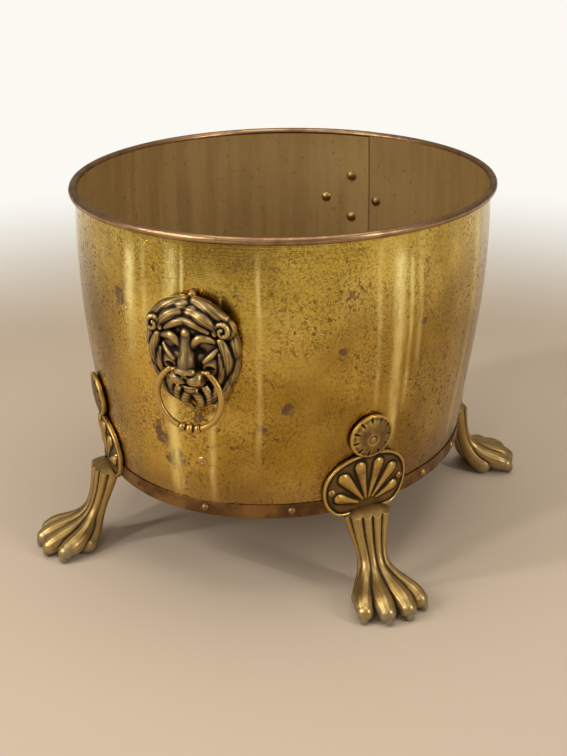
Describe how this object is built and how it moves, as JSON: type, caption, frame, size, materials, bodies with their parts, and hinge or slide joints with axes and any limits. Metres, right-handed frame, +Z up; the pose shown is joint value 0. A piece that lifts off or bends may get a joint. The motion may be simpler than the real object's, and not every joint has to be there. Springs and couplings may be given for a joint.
{
  "type": "kindling bucket",
  "caption": "Oval riveted brass kindling bucket with rolled rim, cast paw feet, and lion masks that carry swinging ring handles.",
  "frame": {"origin": "on the floor under the middle of the oval body", "axes": "+Z up, the front lion mask faces -Y, +X is to the right of that mask"},
  "size_m": [0.3902, 0.4402, 0.3165],
  "materials": {
    "brass_sheet": "aged polished sheet, speckled patina",
    "rim_wire": "dull drawn wire",
    "brass_pan": "brown tarnish",
    "brass_rivet": "worn",
    "brass_casting": "cast, dark in the grooves",
    "brass_mask": "cast, dark patina with rubbed high places",
    "brass_ring": "rubbed smooth"
  },
  "bodies": {
    "bucket": {"sheet_left": "brass_sheet", "sheet_right": "brass_sheet", "rim_wire": "rim_wire", "base_pan": "brass_pan", "base_rivets": "brass_rivet", "front_seam_rivet": "brass_rivet", "rear_seam_rivet": "brass_rivet", "front_left_leg": "brass_casting", "front_right_leg": "brass_casting", "rear_left_leg": "brass_casting", "rear_right_leg": "brass_casting", "front_left_leg_rivets": "brass_rivet", "front_right_leg_rivets": "brass_rivet", "rear_left_leg_rivets": "brass_rivet", "rear_right_leg_rivets": "brass_rivet", "front_lion_mask": "brass_mask", "front_mask_rivets": "brass_rivet", "rear_lion_mask": "brass_mask", "rear_mask_rivets": "brass_rivet"},
    "front_ring": {"front_ring_handle": "brass_ring"},
    "rear_ring": {"rear_ring_handle": "brass_ring"}
  },
  "joints": [
    {"name": "front_ring_swing", "type": "hinge", "parent": "bucket", "child": "front_ring", "pos_m": [0, -0.20813, 0.2116], "axis": [-1, 0, 0], "range_deg": [-8, 105]},
    {"name": "rear_ring_swing", "type": "hinge", "parent": "bucket", "child": "rear_ring", "pos_m": [0, 0.20813, 0.2116], "axis": [1, 0, 0], "range_deg": [-8, 105]}
  ]
}
